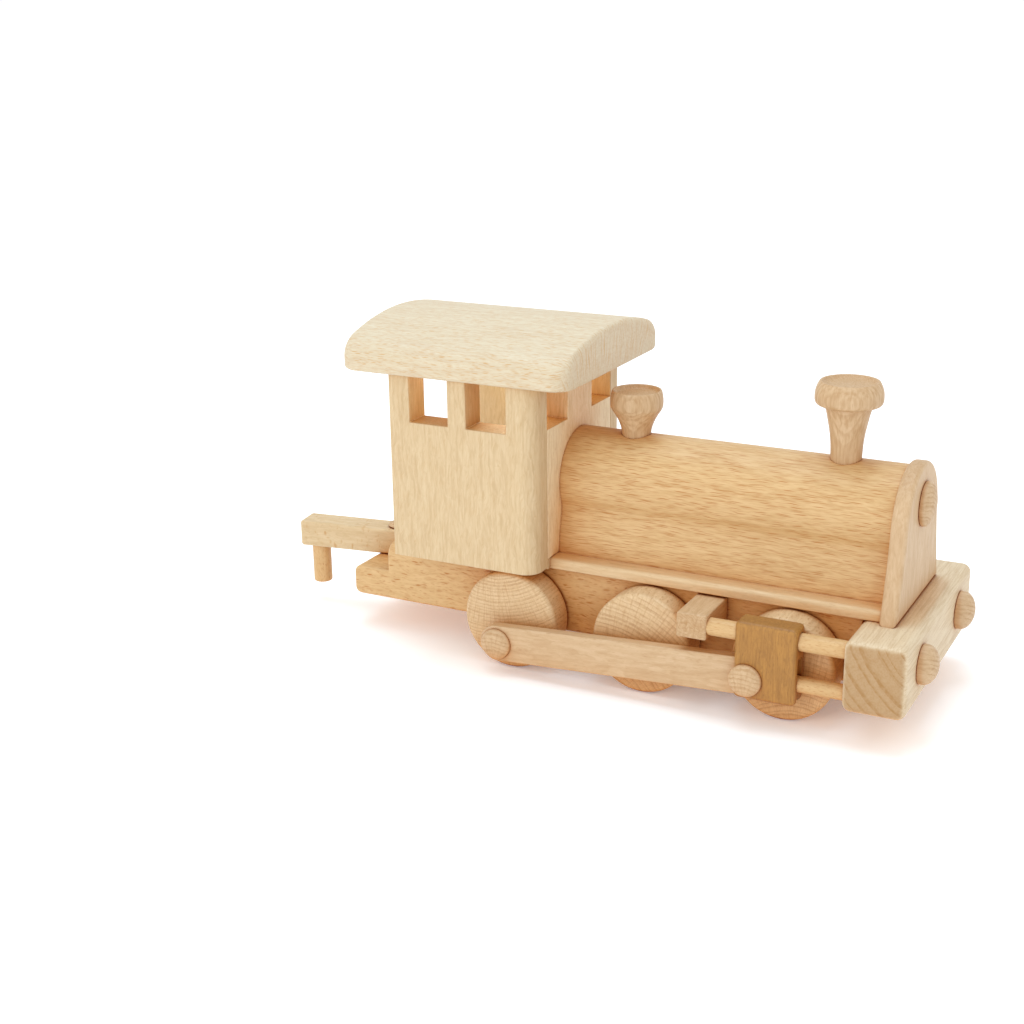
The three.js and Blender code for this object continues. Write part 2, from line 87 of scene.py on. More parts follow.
def round_corners(corners):
    """A polygon from (x, y, radius) corners, each turned into an arc-like quadratic curve."""
    steps = 8
    points = []
    for i, (x, y, radius) in enumerate(corners):
        here = Vector((x, y))
        if radius == 0:
            points.append((x, y))
            continue
        before = Vector(corners[i - 1][:2]) - here
        after = Vector(corners[(i + 1) % len(corners)][:2]) - here
        first = here + before.normalized() * radius
        last = here + after.normalized() * radius
        for k in range(steps + 1):
            t = k / steps
            point = first * (1 - t) ** 2 + here * 2 * t * (1 - t) + last * t ** 2
            points.append((point.x, point.y))
    return points


def smooth_line(points):
    """A Catmull-Rom curve through points, ends included."""
    steps = 6
    ends = [points[0]] + list(points) + [points[-1]]
    line = []
    for a, b, c, d in zip(ends, ends[1:], ends[2:], ends[3:]):
        for k in range(steps):
            t = k / steps
            line.append(tuple(
                0.5 * (2 * q + (r - p) * t + (2 * p - 5 * q + 4 * r - s) * t ** 2
                       + (3 * q - p - 3 * r + s) * t ** 3)
                for p, q, r, s in zip(a, b, c, d)))
    line.append(points[-1])
    return line


def inset(outline, distance):
    """Moves each corner of a counter-clockwise outline inward, keeping its sides parallel."""
    moved = []
    count = len(outline)
    for i in range(count):
        before = Vector(outline[i]) - Vector(outline[i - 1])
        after = Vector(outline[(i + 1) % count]) - Vector(outline[i])
        first = Vector((-before.y, before.x)).normalized()
        second = Vector((-after.y, after.x)).normalized()
        miter = (first + second) / max(1e-6, 1 + first.dot(second))
        moved.append(tuple(Vector(outline[i]) + miter * distance))
    return moved


def counter_clockwise(outline):
    area = sum(a[0] * b[1] - b[0] * a[1] for a, b in zip(outline, outline[1:] + outline[:1]))
    return outline if area > 0 else outline[::-1]


# ---------- meshes ----------

def to_object(name, bm):
    """Closes a bmesh into a named object."""
    bmesh.ops.remove_doubles(bm, verts=bm.verts, dist=1e-7)
    bmesh.ops.recalc_face_normals(bm, faces=bm.faces)
    mesh = bpy.data.meshes.new(name)
    bm.to_mesh(mesh)
    bm.free()
    piece = bpy.data.objects.new(name, mesh)
    bpy.context.scene.collection.objects.link(piece)
    return piece


def place_point(axis, u, v, along):
    """A point from its two outline coordinates and its place along the named axis."""
    if axis == "x":
        return (along, u, v)
    if axis == "y":
        return (u, along, v)
    return (u, v, along)


def prism(name, outline, axis, low, high, rounding=0.0):
    """An outline given thickness along an axis, with its two rims rounded over."""
    outline = counter_clockwise(outline)
    levels = [(0.0, low), (0.0, high)]
    if rounding:
        levels = []
        for k in range(ROUND_STEPS + 1):
            angle = math.pi / 2 * k / ROUND_STEPS
            levels.append((rounding * (1 - math.sin(angle)), low + rounding * (1 - math.cos(angle))))
        for k in range(ROUND_STEPS, -1, -1):
            angle = math.pi / 2 * k / ROUND_STEPS
            levels.append((rounding * (1 - math.sin(angle)), high - rounding * (1 - math.cos(angle))))
    bm = bmesh.new()
    rings = []
    for distance, along in levels:
        ring = inset(outline, distance) if distance else outline
        rings.append([bm.verts.new(place_point(axis, u, v, along)) for u, v in ring])
    for lower, upper in zip(rings, rings[1:]):
        for i in range(len(lower)):
            j = (i + 1) % len(lower)
            bm.faces.new((lower[i], lower[j], upper[j], upper[i]))
    bm.faces.new(rings[0][::-1])
    bm.faces.new(rings[-1])
    return to_object(name, bm)


def timber(name, low, high, rounding, segments=4):
    """A squared block between two corners, with every edge rounded."""
    bm = bmesh.new()
    bmesh.ops.create_cube(bm, size=1)
    centre = (Vector(low) + Vector(high)) / 2
    extent = Vector(high) - Vector(low)
    for vert in bm.verts:
        vert.co = centre + Vector(c * e for c, e in zip(vert.co, extent))
    bmesh.ops.bevel(bm, geom=bm.edges[:], offset=rounding, offset_type="OFFSET", segments=segments,
                    profile=0.5, affect="EDGES", clamp_overlap=True)
    return to_object(name, bm)


def turned(name, profile, start, axis, steps=LATHE_STEPS):
    """A profile of (radius, along) turned about an axis through start; '-y' points to -Y."""
    sign = -1 if axis.startswith("-") else 1
    letter = axis[-1]
    bm = bmesh.new()
    rings = []
    for radius, along in profile:
        ring = []
        count = 1 if radius < 1e-7 else steps
        for i in range(count):
            angle = 2 * math.pi * i / steps
            u, v = radius * math.cos(angle), radius * math.sin(angle)
            ring.append(bm.verts.new(Vector(start) + Vector(place_point(letter, u, v, sign * along))))
        rings.append(ring)
    for lower, upper in zip(rings, rings[1:]):
        for i in range(steps):
            j = (i + 1) % steps
            corners = [lower[i % len(lower)], lower[j % len(lower)],
                       upper[j % len(upper)], upper[i % len(upper)]]
            unique = list(dict.fromkeys(corners))
            if len(unique) > 2:
                bm.faces.new(unique)
    return to_object(name, bm)


def bar_profile(radius, length, soft):
    """A round bar with softly rounded ends."""
    first = [(radius - soft + x, soft + y) for x, y in arc((0, 0), soft, -90, 0, 4)]
    second = [(radius - soft + x, length - soft + y) for x, y in arc((0, 0), soft, 0, 90, 4)]
    return [(0, 0)] + first + second + [(0, length)]


def domed_profile(shank_radius, shank_length, head_radius, head_height):
    """A shank with a mushroom head: a thin straight rim under a low dome."""
    rim = 0.25 * head_height
    lip = 0.35 * MM
    steps = 15
    profile = [(0, 0), (shank_radius, 0), (shank_radius, shank_length)]
    profile += [(head_radius - lip, shank_length), (head_radius, shank_length + lip)]
    for k in range(steps):
        angle = math.pi / 2 * k / steps
        profile.append((head_radius * math.cos(angle),
                        shank_length + rim + (head_height - rim) * math.sin(angle)))
    return profile + [(0, shank_length + head_height)]


def cut(piece, cutter):
    """Takes one mesh out of another and drops the cutter."""
    modifier = piece.modifiers.new("cut", "BOOLEAN")
    modifier.operation = "DIFFERENCE"
    modifier.solver = "EXACT"
    modifier.object = cutter
    bpy.context.view_layer.update()
    shaped = bpy.data.meshes.new_from_object(piece.evaluated_get(bpy.context.evaluated_depsgraph_get()))
    piece.modifiers.remove(modifier)
    old = piece.data
    piece.data = shaped
    bpy.data.meshes.remove(old)
    bpy.data.objects.remove(cutter)


def drill(piece, radius, start, axis, length):
    """Bores from start in the direction of the named axis."""
    profile = [(0, 0), (radius, 0), (radius, length), (0, length)]
    cut(piece, turned("drill", profile, start, axis, DRILL_STEPS))


def round_extent(node, axis):
    """A round node's start, length and smallest and largest radius; '-y' starts at its high end."""
    low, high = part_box(node)
    index = AXIS_INDEX[axis[-1]]
    start = middle(node)
    start[index] = high[index] if axis.startswith("-") else low[index]
    radii = [(high - low)[i] / 2 for i in range(3) if i != index]
    return start, (high - low)[index], min(radii), max(radii)


def drill_for(piece, node, axis, gap=FIT):
    """Bores the seat of a round node, from its low end to its high end."""
    start, length, radius, _ = round_extent(node, axis)
    drill(piece, radius + gap, start, axis, length)


def saw_out(piece, low, high):
    """Takes a square-edged block out of a piece."""
    cut(piece, timber("saw", low, high, 0))


def finish_mesh(piece, softness):
    """Smooth shading with crisp edges; softness eases the edges that cutting left."""
    if softness:
        bevel = piece.modifiers.new("ease", "BEVEL")
        bevel.width = softness
        bevel.segments = 2
        bevel.limit_method = "ANGLE"
        bevel.angle_limit = EASED_ANGLE
        bevel.harden_normals = False
    piece.data.shade_smooth()
    piece.data.set_sharp_from_angle(angle=SHARP_ANGLE)
    normals = piece.modifiers.new("normals", "WEIGHTED_NORMAL")
    normals.keep_sharp = True


# ---------- wood ----------

class Nodes:
    """Short names for making and joining shader nodes."""

    def __init__(self, tree):
        self.tree = tree

    def new(self, kind, **settings):
        node = self.tree.nodes.new(kind)
        for name, value in settings.items():
            setattr(node, name, value)
        return node

    def feed(self, socket, value):
        if isinstance(value, bpy.types.NodeSocket):
            self.tree.links.new(value, socket)
        else:
            socket.default_value = value

    def math(self, operation, first, second=0.0):
        node = self.new("ShaderNodeMath", operation=operation)
        self.feed(node.inputs[0], first)
        self.feed(node.inputs[1], second)
        return node.outputs[0]

    def vector(self, operation, first, second=(0, 0, 0)):
        node = self.new("ShaderNodeVectorMath", operation=operation)
        self.feed(node.inputs[0], first)
        self.feed(node.inputs[1], second)
        return node.outputs["Value" if operation in ("LENGTH", "DOT_PRODUCT") else "Vector"]

    def combine(self, x, y, z):
        node = self.new("ShaderNodeCombineXYZ")
        for socket, value in zip(node.inputs, (x, y, z)):
            self.feed(socket, value)
        return node.outputs[0]

    def noise(self, vector, scale, detail, output="Fac"):
        node = self.new("ShaderNodeTexNoise")
        self.feed(node.inputs["Vector"], vector)
        node.inputs["Scale"].default_value = scale
        node.inputs["Detail"].default_value = detail
        return node.outputs[output]

    def step(self, value, low, high, to_low=0.0, to_high=1.0):
        """A soft step from one number to another as value goes from low to high."""
        node = self.new("ShaderNodeMapRange", interpolation_type="SMOOTHSTEP")
        for socket, number in zip(node.inputs[:5], (value, low, high, to_low, to_high)):
            self.feed(socket, number)
        return node.outputs[0]

    def mix(self, factor, first, second, blend="MIX"):
        node = self.new("ShaderNodeMix", data_type="RGBA", blend_type=blend)
        self.feed(node.inputs[0], factor)
        self.feed(node.inputs[6], first if not isinstance(first, tuple) else (*first, 1))
        self.feed(node.inputs[7], second if not isinstance(second, tuple) else (*second, 1))
        return node.outputs[2]


# Tones of beech as linear colours: pale wood, deeper wood, latewood line and ray fleck.
BEECH = {
    "light": dict(pale=(0.635, 0.555, 0.405), deep=(0.59, 0.49, 0.33), line=(0.5, 0.345, 0.21),
                  fleck=(0.52, 0.285, 0.1), rough=0.55),
    # Painted light: this tone is the pale one made lighter for the cab front, standing in for light on a
    # face that the roof and boiler shade.
    "lit_cream": dict(pale=(0.81, 0.68, 0.47), deep=(0.75, 0.6, 0.385), line=(0.52, 0.32, 0.13),
                  fleck=(0.5, 0.28, 0.11), rough=0.55),
    "bleached": dict(pale=(0.67, 0.54, 0.365), deep=(0.61, 0.465, 0.29), line=(0.33, 0.163, 0.04),
                     fleck=(0.38, 0.215, 0.09), rough=0.55),
    "fresh": dict(pale=(0.67, 0.49, 0.29), deep=(0.61, 0.42, 0.225), line=(0.43, 0.25, 0.11),
                  fleck=(0.4, 0.2, 0.07), rough=0.53),
    "pale": dict(pale=(0.63, 0.485, 0.295), deep=(0.575, 0.42, 0.235), line=(0.45, 0.295, 0.145),
                 fleck=(0.46, 0.23, 0.065), rough=0.55),
    "warm": dict(pale=(0.635, 0.425, 0.205), deep=(0.58, 0.37, 0.165), line=(0.46, 0.255, 0.09),
                 fleck=(0.4, 0.15, 0.024), rough=0.5),
    "turned": dict(pale=(0.6, 0.425, 0.255), deep=(0.53, 0.35, 0.19), line=(0.4, 0.225, 0.09),
                   fleck=(0.36, 0.18, 0.06), rough=0.52),
    "brown": dict(pale=(0.43, 0.205, 0.04), deep=(0.35, 0.16, 0.032), line=(0.22, 0.095, 0.022),
                  fleck=(0.19, 0.08, 0.018), rough=0.5),
}
# Painted shade: wood is darkened and warmed where other wood shuts it in, deep in a hollow and
# again in a tight seam. Each entry is a reach, a tint, and the openness at which the tint is full
# and at which it is gone.
PAINTED_HOLLOW_AND_SEAM_SHADE = (
    (40 * MM, (1.0, 0.63, 0.28), 0.12, 0.85),
    (2.5 * MM, (0.54, 0.25, 0.065), 0.3, 0.75),
)
# How far in from a rounded edge the colour is darkened.
EDGE_DARKENING_REACH = 1.6 * MM
GLOSS = 0.42
BUMP_HEIGHT = 0.12 * MM
BUMP_STRENGTH = 0.2
RAY_THICKNESS = 0.33
# Each ray pattern has a second one over it, smaller, fainter and shifted along in mm.
FINE_RAY_SIZE = 0.6
FINE_RAY_STRENGTH = 0.6
FINE_RAY_SHIFT = 57.3
# Noise in the log: its scale, and how far each kind is stretched along, outward and across.
LOG_SCALE = 5.0
SLOW_WANDER = (0.011, 0.03, 0.03)
QUICK_WANDER = (0.05, 0.12, 0.12)
FAINT_PATCHES = (0.02, 0.1, 0.1)
BROAD_PATCHES = (0.012, 0.06, 0.06)


def rays(n, along, radius, around, cell, density):
    """Rays: thin sheets in the radial plane, which a flat-sawn face cuts into short dashes."""
    voronoi = n.new("ShaderNodeTexVoronoi", feature="F1", voronoi_dimensions="2D")
    length, width = n.math("DIVIDE", along, cell[0]), n.math("DIVIDE", around, cell[2])
    n.feed(voronoi.inputs["Vector"], n.combine(length, width, 0.0))
    voronoi.inputs["Scale"].default_value = 1.0
    core = n.step(voronoi.outputs["Distance"], RAY_THICKNESS * 0.3, RAY_THICKNESS, 1.0, 0.0)
    chance = n.new("ShaderNodeSeparateColor")
    n.feed(chance.inputs[0], voronoi.outputs["Color"])
    # A ray ends after a while on its way outward.
    ends = n.noise(n.combine(n.math("MULTIPLY", length, 0.9), n.math("DIVIDE", radius, cell[1]),
                             n.math("MULTIPLY", width, 0.9)), 2.0, 1)
    chosen = n.step(ends, 0.62 - 0.3 * density, 0.78 - 0.3 * density)
    strength = n.step(chance.outputs[1], 0.0, 1.0, 0.3, 1.0)
    return n.math("MULTIPLY", n.math("MULTIPLY", core, chosen), strength)


def log_space(n, axes, pith, wave):
    """Places in the log, all in mm: as they are, by radius for the rings, and along, outward
    and around for rays and fibres, which keep straighter than the rings do."""
    coordinates = n.new("ShaderNodeTexCoord")
    mapping = n.new("ShaderNodeMapping")
    n.feed(mapping.inputs["Vector"], coordinates.outputs["Object"])
    mapping.inputs["Scale"].default_value = (1 / MM, 1 / MM, 1 / MM)
    mapping.inputs["Rotation"].default_value = Matrix(axes).to_euler()
    mapping.inputs["Location"].default_value = (0, -pith[0], -pith[1])
    raw = mapping.outputs[0]

    # The log isn't straight: the rings wander slowly along the grain.
    slow = n.noise(n.vector("MULTIPLY", raw, SLOW_WANDER), LOG_SCALE, 2, "Color")
    bend = n.vector("MULTIPLY", n.vector("SUBTRACT", slow, (0.5, 0.5, 0.5)), (0, 6 * wave, 6 * wave))
    quick = n.noise(n.vector("MULTIPLY", raw, QUICK_WANDER), LOG_SCALE, 2, "Color")
    ripple = n.vector("MULTIPLY", n.vector("SUBTRACT", quick, (0.5, 0.5, 0.5)), (0, wave, wave))
    point = n.vector("ADD", raw, n.vector("ADD", bend, ripple))
    radius = n.vector("LENGTH", n.vector("MULTIPLY", point, (0, 1, 1)))

    straight = n.vector("ADD", raw, n.vector("MULTIPLY", bend, (0.3, 0.3, 0.3)))
    split = n.new("ShaderNodeSeparateXYZ")
    n.feed(split.inputs[0], straight)
    along, out, across = split.outputs
    depth = n.vector("LENGTH", n.vector("MULTIPLY", straight, (0, 1, 1)))
    around = n.math("MULTIPLY", n.math("ARCTAN2", across, out), pith[2])
    return raw, radius, along, depth, around


def growth_rings(n, raw, radius, spacing):
    """Colour deepens slowly outward through a ring, then drops back behind a thin line."""
    count = n.math("DIVIDE", radius, spacing)
    uneven = n.noise(n.combine(n.math("MULTIPLY", count, 0.35), 3.7, 0.0), LOG_SCALE, 1)
    count = n.math("ADD", count, n.math("MULTIPLY", uneven, 1.2))
    phase = n.math("FRACT", count)
    late = n.math("POWER", n.step(phase, 0.1, 0.9), 1.1 * spacing)
    late = n.math("MULTIPLY", late, n.step(phase, 0.93, 1.0, 1.0, 0.0))
    faint = n.noise(n.vector("MULTIPLY", raw, FAINT_PATCHES), LOG_SCALE, 1)
    return n.math("MULTIPLY", late, n.step(faint, 0.3, 0.65, 0.45, 1.0))


def facing(n, geometry, axes):
    """How squarely the surface faces each axis."""
    normal = n.new("ShaderNodeVectorTransform", vector_type="NORMAL", convert_from="WORLD",
                   convert_to="OBJECT")
    n.feed(normal.inputs[0], geometry.outputs["Normal"])
    return [n.math("ABSOLUTE", n.vector("DOT_PRODUCT", normal.outputs[0], tuple(axis)))
            for axis in axes]


def paint_hollow_and_seam_shade(n, colour):
    """Painted shade: the darker tints that a colour takes on in hollows and seams."""
    for reach, tint, closed, open_air in PAINTED_HOLLOW_AND_SEAM_SHADE:
        hollow = n.new("ShaderNodeAmbientOcclusion", samples=6)
        hollow.inputs["Distance"].default_value = reach
        tinted = n.mix(1.0, colour, tint, "MULTIPLY")
        colour = n.mix(n.step(hollow.outputs["AO"], closed, open_air, 1.0, 0.0), colour, tinted)
    return colour


def wood(name, tones, grain, radial, pith, spacing=3.2, ring=0.3, fleck=0.6, fibre=0.6, tone=0.6,
         wave=2.0, cell=(6.0, 14.0, 0.8), density=0.8, lean=0.0, end_ring=0.5, end_ray=0.15,
         end_dark=0.35, ray_gap=1.3, edge=0.0, plain_sides=True):
    """Beech cut from a log. grain and radial are directions in the frame that all pieces share.

    pith is the tree centre's place along radial and tangent and its distance, all in mm.
    spacing is the rings' in mm, and wave how far they wander. ring, fleck, fibre and tone are
    the strength of rings, rays, fibres and broad shading. cell is a ray's cell in mm along the
    grain, outward and around, density how many cells hold a ray, and lean slants them.
    end_ring, end_ray and end_dark are the strength of rings, rays and darkening on end grain,
    ray_gap the rays' spacing there in mm, and edge the strength of the darkening along rounded
    edges. plain_sides gives quarter-sawn faces the same dashes as flat-sawn ones."""
    colours = BEECH[tones]
    material = bpy.data.materials.new(name)
    material.use_nodes = True
    tree = material.node_tree
    n = Nodes(tree)
    shader = tree.nodes["Principled BSDF"]
    grain = Vector(grain).normalized()
    radial = Vector(radial).normalized()
    axes = (grain, radial, grain.cross(radial))
    raw, radius, along, depth, around = log_space(n, axes, pith, wave)
    geometry = n.new("ShaderNodeNewGeometry")
    ends_on, flat_on, quarter_on = facing(n, geometry, axes)
    end = n.step(ends_on, 0.5, 0.95)

    leaning = n.math("ADD", around, n.math("MULTIPLY", along, lean))
    if plain_sides:
        quarter = n.math("GREATER_THAN", n.math("SUBTRACT", quarter_on, flat_on), 0.05)
        turned_over = n.math("MULTIPLY", quarter, n.math("SUBTRACT", depth, leaning))
        leaning = n.math("ADD", leaning, turned_over)
    small_rays = rays(n, along, depth, leaning, cell, density)
    shifted = n.math("ADD", along, FINE_RAY_SHIFT)
    fine_rays = rays(n, shifted, depth, leaning, tuple(c * FINE_RAY_SIZE for c in cell), density)
    ray = n.math("MAXIMUM", small_rays, n.math("MULTIPLY", fine_rays, FINE_RAY_STRENGTH))

    late = growth_rings(n, raw, radius, spacing)
    fine = n.noise(n.combine(n.math("MULTIPLY", along, 0.05), n.math("MULTIPLY", depth, 0.9),
                             n.math("MULTIPLY", around, 0.9)), 1.0, 4)
    broad = n.noise(n.vector("MULTIPLY", raw, BROAD_PATCHES), LOG_SCALE, 3)
    # On end grain the rays are spokes that fan out from the pith.
    fan = n.combine(n.math("MULTIPLY", depth, 0.05), n.math("DIVIDE", around, ray_gap), 0.0)
    spokes = n.step(n.noise(fan, 1.0, 2), 0.5, 0.64)

    colour = colours["pale"]
    for strength, tint in (
            (n.math("MULTIPLY", n.step(broad, 0.25, 0.75), tone), "deep"),
            (n.math("MULTIPLY", end, end_dark), "line"),
            (n.math("MULTIPLY", late, n.step(end, 0.0, 1.0, ring, end_ring)), "line"),
            (n.math("MULTIPLY", n.step(fine, 0.38, 0.72), 0.45 * fibre), "line"),
            (n.math("MULTIPLY", ray, n.step(end, 0.0, 1.0, fleck, 0.0)), "fleck"),
            (n.math("MULTIPLY", spokes, n.step(end, 0.0, 1.0, 0.0, end_ray)), "fleck")):
        colour = n.mix(strength, colour, colours[tint])
    if edge:
        bevel = n.new("ShaderNodeBevel", samples=4)
        bevel.inputs["Radius"].default_value = EDGE_DARKENING_REACH
        flat = n.vector("DOT_PRODUCT", bevel.outputs[0], geometry.outputs["Normal"])
        colour = n.mix(n.step(flat, 0.86, 0.995, edge, 0.0), colour, colours["fleck"])
    # The base colour carries painted shade in hollows and seams.
    n.feed(shader.inputs["Base Color"], paint_hollow_and_seam_shade(n, colour))

    rough = n.step(fine, 0.3, 0.7, colours["rough"] - 0.05, colours["rough"] + 0.09)
    n.feed(shader.inputs["Roughness"], rough)
    shader.inputs["Specular IOR Level"].default_value = GLOSS

    height = n.math("ADD", n.math("MULTIPLY", fine, 0.8 * fibre),
                    n.math("ADD", n.math("MULTIPLY", ray, n.step(end, 0.0, 1.0, -0.5, 0.0)),
                           n.math("MULTIPLY", late, 0.25)))
    bump = n.new("ShaderNodeBump")
    bump.inputs["Strength"].default_value = BUMP_STRENGTH
    bump.inputs["Distance"].default_value = BUMP_HEIGHT
    n.feed(bump.inputs["Height"], height)
    n.feed(shader.inputs["Normal"], bump.outputs[0])
    return material


def dress(piece, node, body, material, softness=0.0):
    """Gives a finished piece its material and body, in place of its CAD node."""
    piece.data.materials.clear()
    piece.data.materials.append(material)
    finish_mesh(piece, softness)
    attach(piece, body)
    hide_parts(node)


def pith_from(node, grain, radial, outward, sideways=0.0):
    """The pith's place, outward and sideways mm from a node's middle, and its distance."""
    centre = middle(node) / MM
    grain, radial = Vector(grain).normalized(), Vector(radial).normalized()
    return (centre.dot(radial) + outward, centre.dot(grain.cross(radial)) + sideways,
            math.hypot(outward, sideways))


# ---------- camera, light and floor ----------

# Turned towards the engine's front, looking down, and rolled, in degrees.
CAMERA_TURN = (27.6, 18.29, -0.75)
CAMERA_PLACE = (0.3771, -0.8347, 0.3875)
CAMERA_LENS = 56.22
CAMERA_SENSOR = 36
CAMERA_SHIFT = (-0.0057, 0.0022)

FLOOR_HALF = 9
FLOOR_THICKNESS = 0.02
FLOOR_WHITE = 0.98
FLOOR_GLOW = 0.15
SKY_STRENGTH = 1.02
# Each light's place, target, width, power and colour.
SOFT_LIGHTS = {
    "key": ((-0.5, -2.0, 0.9), (0, 0, 0.08), 1.0, 8.5, (1, 0.95, 0.86)),
    "top": ((-0.2, 0.2, 2.2), (0, 0, 0), 1.4, 20, (0.62, 0.82, 1)),
}
CAB_GLOW_HEIGHT = 172 * MM
CAB_GLOW_SIZE = 15 * MM
CAB_GLOW_POWER = 0.11
CAB_GLOW_COLOUR = (1, 0.92, 0.62)


def make_camera():
    azimuth, elevation, roll = (math.radians(angle) for angle in CAMERA_TURN)
    forward = Vector((-math.sin(azimuth) * math.cos(elevation), math.cos(azimuth) * math.cos(elevation),
                      -math.sin(elevation)))
    level = Vector((math.cos(azimuth), math.sin(azimuth), 0))
    upright = level.cross(forward)
    right = math.cos(roll) * level + math.sin(roll) * upright
    up = math.cos(roll) * upright - math.sin(roll) * level
    data = bpy.data.cameras.new("camera")
    data.sensor_width = CAMERA_SENSOR
    data.lens = CAMERA_LENS
    data.shift_x, data.shift_y = CAMERA_SHIFT
    camera = bpy.data.objects.new("camera", data)
    turn = Matrix((right, up, -forward)).transposed().to_4x4()
    camera.matrix_world = Matrix.Translation(CAMERA_PLACE) @ turn
    bpy.context.scene.collection.objects.link(camera)
    bpy.context.scene.camera = camera


def area_light(name, place, target, width, power, colour):
    data = bpy.data.lights.new(name, "AREA")
    data.shape = "DISK"
    data.size = width
    data.energy = power
    data.color = colour
    light = bpy.data.objects.new(name, data)
    light.location = place
    light.rotation_euler = (Vector(target) - Vector(place)).to_track_quat("-Z", "Y").to_euler()
    bpy.context.scene.collection.objects.link(light)


def cab_glow():
    """A weak light in the cab, for the daylight that wood passes on to wood."""
    cab = middle("cab_floor")
    data = bpy.data.lights.new("cab_glow", "POINT")
    data.energy = CAB_GLOW_POWER
    data.color = CAB_GLOW_COLOUR
    data.shadow_soft_size = CAB_GLOW_SIZE
    light = bpy.data.objects.new("cab_glow", data)
    light.location = (cab.x, cab.y, CAB_GLOW_HEIGHT)
    bpy.context.scene.collection.objects.link(light)


def make_studio():
    corners = [(x * FLOOR_HALF, y * FLOOR_HALF) for x, y in ((-1, -1), (1, -1), (1, 1), (-1, 1))]
    floor = prism("floor", corners, "z", -FLOOR_THICKNESS, 0.0)
    material = bpy.data.materials.new("floor_paper")
    material.use_nodes = True
    shader = material.node_tree.nodes["Principled BSDF"]
    shader.inputs["Base Color"].default_value = (FLOOR_WHITE, FLOOR_WHITE, FLOOR_WHITE, 1)
    shader.inputs["Roughness"].default_value = 0.9
    shader.inputs["Emission Color"].default_value = (1, 1, 1, 1)
    shader.inputs["Emission Strength"].default_value = FLOOR_GLOW
    floor.data.materials.append(material)
    world = bpy.data.worlds.new("studio")
    world.use_nodes = True
    background = world.node_tree.nodes["Background"]
    background.inputs["Color"].default_value = (1, 1, 1, 1)
    background.inputs["Strength"].default_value = SKY_STRENGTH
    bpy.context.scene.world = world
    for name, settings in SOFT_LIGHTS.items():
        area_light(name, *settings)
    cab_glow()
    bpy.context.scene.view_settings.view_transform = "Standard"


make_camera()
make_studio()


# ---------- chassis, board and boiler ----------

CHASSIS_ROUND = 2.5 * MM
CHASSIS_END_ROUND = 5 * MM
PLATFORM_TOP = 39 * MM
STEP_ROUND = 13 * MM
STEP_PAST_PIN = 5.5 * MM
# The drawbar pin's head is wider than the shank that the chassis takes.
PIN_SHOULDER = 2.9 * MM
BOARD_TOP_ROUND = 3 * MM
BOARD_FOOT_ROUND = 0.8 * MM

BOILER_RADIUS = 28.4 * MM
BOILER_TURN = 18
# The waist below the boiler's round, as half widths and heights in mm.
BOILER_WAIST = ((28.4, 79), (26.9, 86), (25.7, 91), (25.5, 96))
FOOT_SEAT = 8.8 * MM
FOOT_SEAT_DEPTH = 3 * MM

PLATE_RADIUS = 35 * MM
PLATE_FLARE = (3.5 * MM, 20 * MM)
PLATE_ROUND = 2.5 * MM
LAMP_DRILL = 12 * MM
BEAM_ROUND = 5 * MM
PISTON_BORE = 4.8 * MM
PISTON_DRILL = 32 * MM
GUIDE_DRILL = 15.3 * MM
BUFFER_DRILL = 20 * MM


def make_chassis():
    low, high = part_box("chassis_beam")
    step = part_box("drawbar_pin")[1].x + STEP_PAST_PIN
    outline = round_corners([
        (low.x, low.z, CHASSIS_END_ROUND), (high.x, low.z, 0), (high.x, high.z, 0),
        (step, high.z, STEP_ROUND), (step, PLATFORM_TOP, 1 * MM),
        (low.x, PLATFORM_TOP, CHASSIS_END_ROUND),
    ])
    piece = prism("chassis_timber", outline, "y", low.y, high.y, CHASSIS_ROUND)
    for name in AXLES:
        drill_for(piece, f"axle_{name}", "y", RUNNING_GAP)
    drill_for(piece, "drawbar_pin", "z", -PIN_SHOULDER)
    for side, _ in SIDES:
        drill_for(piece, f"beam_dowel_{side}", "x")
    for end in ("rear", "front"):
        drill_for(piece, f"boiler_dowel_{end}", "z")
    pith = pith_from("chassis_beam", X, Y, 70, 25)
    dress(piece, "chassis_beam", "engine",
          wood("chassis_wood", "warm", X, Y, pith, ring=0.2, fleck=0.9, fibre=0.8, cell=(10, 14, 1.35),
               wave=3))


def make_board():
    low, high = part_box("running_board")
    outline = round_corners([
        (low.y, low.z, BOARD_FOOT_ROUND), (high.y, low.z, BOARD_FOOT_ROUND),
        (high.y, high.z, BOARD_TOP_ROUND), (low.y, high.z, BOARD_TOP_ROUND),
    ])
    piece = prism("board_strip", outline, "x", low.x, high.x)
    for end in ("rear", "front"):
        drill_for(piece, f"boiler_dowel_{end}", "z")
    pith = pith_from("running_board", X, Z, 60, 20)
    dress(piece, "running_board", "engine",
          wood("board_wood", "fresh", X, Z, pith, ring=0.15, fleck=0.3, density=0.5))


def boiler_outline():
    """Round top, drawn in at a slight waist and spreading again to the foot."""
    low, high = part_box("boiler")
    centre = high.z - BOILER_RADIUS
    turn = math.radians(BOILER_TURN)
    shoulder = (BOILER_RADIUS * math.cos(turn), centre - BOILER_RADIUS * math.sin(turn))
    waist = [(y * MM, z * MM) for y, z in BOILER_WAIST]
    side = smooth_line([(high.y, low.z), *waist, shoulder])
    top = arc((0, centre), BOILER_RADIUS, -BOILER_TURN, 180 + BOILER_TURN, 96)
    return side[:-1] + top + [(-y, z) for y, z in reversed(side[:-1])]


